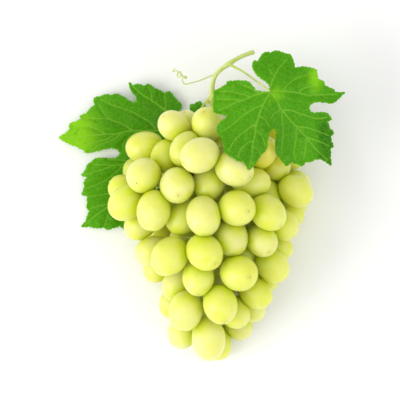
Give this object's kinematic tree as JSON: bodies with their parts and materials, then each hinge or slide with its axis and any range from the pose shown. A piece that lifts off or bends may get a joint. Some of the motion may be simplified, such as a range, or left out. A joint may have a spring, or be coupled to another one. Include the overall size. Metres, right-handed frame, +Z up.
{
  "type": "bunch of grapes",
  "caption": "Bunch of large oval green table grapes lying on its back, with its cut stem, a curling tendril and two lobed vine leaves; rests flat on a surface.",
  "frame": {"origin": "centre of the bounding box at the level of the surface the bunch lies on", "axes": "+Z up from the surface; +Y towards the cut end of the stem; -Y towards the tip of the bunch; +X to the side of the leaf that lies over the shoulder"},
  "size_m": [0.2025, 0.2184, 0.0863],
  "materials": {
    "berry_skin": "translucent yellow-green grape skin with a pale waxy bloom, soft broad highlights and small brown dots",
    "berry_skin_rear": "the same grape skin, a little greener where it gets less light",
    "green_stem": "satin yellow-green stalk with fine lengthwise ribs, pale dots and swollen nodes",
    "tendril_green": "thin pale green tendril, smooth and slightly shiny",
    "leaf_green": "satin bright green leaf, paler veins and underside, light passing through the thin blade"
  },
  "bodies": {
    "root": {"berry_01": "berry_skin", "berry_02": "berry_skin", "berry_03": "berry_skin", "berry_04": "berry_skin", "berry_05": "berry_skin", "berry_06": "berry_skin", "berry_07": "berry_skin", "berry_08": "berry_skin", "berry_09": "berry_skin", "berry_10": "berry_skin", "berry_11": "berry_skin", "berry_12": "berry_skin", "berry_13": "berry_skin", "berry_14": "berry_skin", "berry_15": "berry_skin", "berry_16": "berry_skin", "berry_17": "berry_skin", "berry_18": "berry_skin", "berry_19": "berry_skin", "berry_20": "berry_skin", "berry_21": "berry_skin", "berry_22": "berry_skin", "berry_23": "berry_skin", "berry_24": "berry_skin", "berry_25": "berry_skin", "berry_26": "berry_skin", "berry_27": "berry_skin", "berry_28": "berry_skin", "berry_29": "berry_skin", "berry_30": "berry_skin", "berry_31": "berry_skin", "berry_32": "berry_skin", "berry_33": "berry_skin", "berry_34": "berry_skin", "berry_35": "berry_skin", "berry_36": "berry_skin", "berry_37": "berry_skin", "berry_38": "berry_skin", "berry_39": "berry_skin", "berry_40": "berry_skin", "berry_41": "berry_skin", "berry_42": "berry_skin", "berry_43": "berry_skin", "leaf_left": "leaf_green", "leaf_right": "leaf_green", "rear_berries_01": "berry_skin_rear", "rear_berries_02": "berry_skin_rear", "rear_berries_03": "berry_skin_rear", "rear_berries_04": "berry_skin_rear", "rear_berries_05": "berry_skin_rear", "rear_berries_06": "berry_skin_rear", "rear_berries_07": "berry_skin_rear", "rear_berries_08": "berry_skin_rear", "rear_berries_09": "berry_skin_rear", "rear_berries_10": "berry_skin_rear", "rear_berries_11": "berry_skin_rear", "rear_berries_12": "berry_skin_rear", "rear_berries_13": "berry_skin_rear", "stem": "green_stem", "tendril": "tendril_green"}
  },
  "joints": []
}
